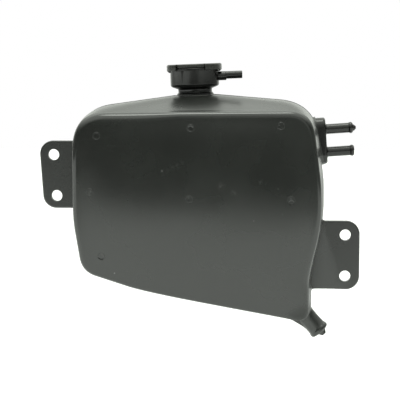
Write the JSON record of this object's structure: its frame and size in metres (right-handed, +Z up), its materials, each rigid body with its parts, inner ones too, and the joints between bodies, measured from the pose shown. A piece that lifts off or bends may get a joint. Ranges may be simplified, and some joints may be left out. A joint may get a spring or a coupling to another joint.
{
  "type": "coolant expansion tank",
  "caption": "Black blow-moulded coolant expansion tank with side brackets, sloping outlet, vent barbs on an oval boss and a filler neck closed by an eared pressure cap.",
  "frame": {"origin": "middle of the right bracket's two bolt holes, on the rear face that bolts down", "axes": "+X to the right along the tank, +Y to the rear, out of the mounting face, +Z up"},
  "size_m": [0.3451, 0.1548, 0.296],
  "materials": {
    "tank_plastic": "satin black moulded plastic, soft wide highlights",
    "neck_plastic": "glossy black moulded plastic",
    "cap_paint": "satin black paint on pressed steel",
    "rivet_steel": "plain steel",
    "spring_steel": "bright spring steel",
    "plated_steel": "yellow zinc plate",
    "valve_brass": "turned brass",
    "black_rubber": "matt black rubber"
  },
  "bodies": {
    "tank": {"tank_body": "tank_plastic", "filler_neck": "neck_plastic", "vent_manifold": "neck_plastic"},
    "cap_core": {"cap_rivet": "rivet_steel", "cap_diaphragm": "spring_steel", "cap_gasket": "black_rubber", "spring_bell": "plated_steel", "pressure_spring": "spring_steel"},
    "cap_cover": {"cap_shell": "cap_paint"},
    "pressure_valve": {"pressure_plate": "plated_steel", "valve_gasket": "black_rubber", "vacuum_spring": "spring_steel"},
    "vacuum_valve_set": {"vacuum_valve": "valve_brass", "vacuum_retainer": "valve_brass"}
  },
  "joints": [
    {"name": "cap_lift", "type": "slide", "parent": "tank", "child": "cap_core", "axis": [-0.0401, 0, 0.9992], "range_m": [0, 0.04]},
    {"name": "cap_turn", "type": "hinge", "parent": "cap_core", "child": "cap_cover", "pos_m": [-0.1614, -0.003, 0.1726], "axis": [0.0401, 0, -0.9992], "range_deg": [0, 90]},
    {"name": "pressure_valve_lift", "type": "slide", "parent": "cap_core", "child": "pressure_valve", "axis": [-0.0401, 0, 0.9992], "range_m": [0, 0.004], "stiffness_N_per_m": 1500, "springref_m": -0.001, "deforming": ["pressure_spring"]},
    {"name": "vacuum_valve_drop", "type": "slide", "parent": "pressure_valve", "child": "vacuum_valve_set", "axis": [0.0401, 0, -0.9992], "range_m": [0, 0.002], "stiffness_N_per_m": 60, "springref_m": -0.003, "deforming": ["vacuum_spring"]}
  ]
}
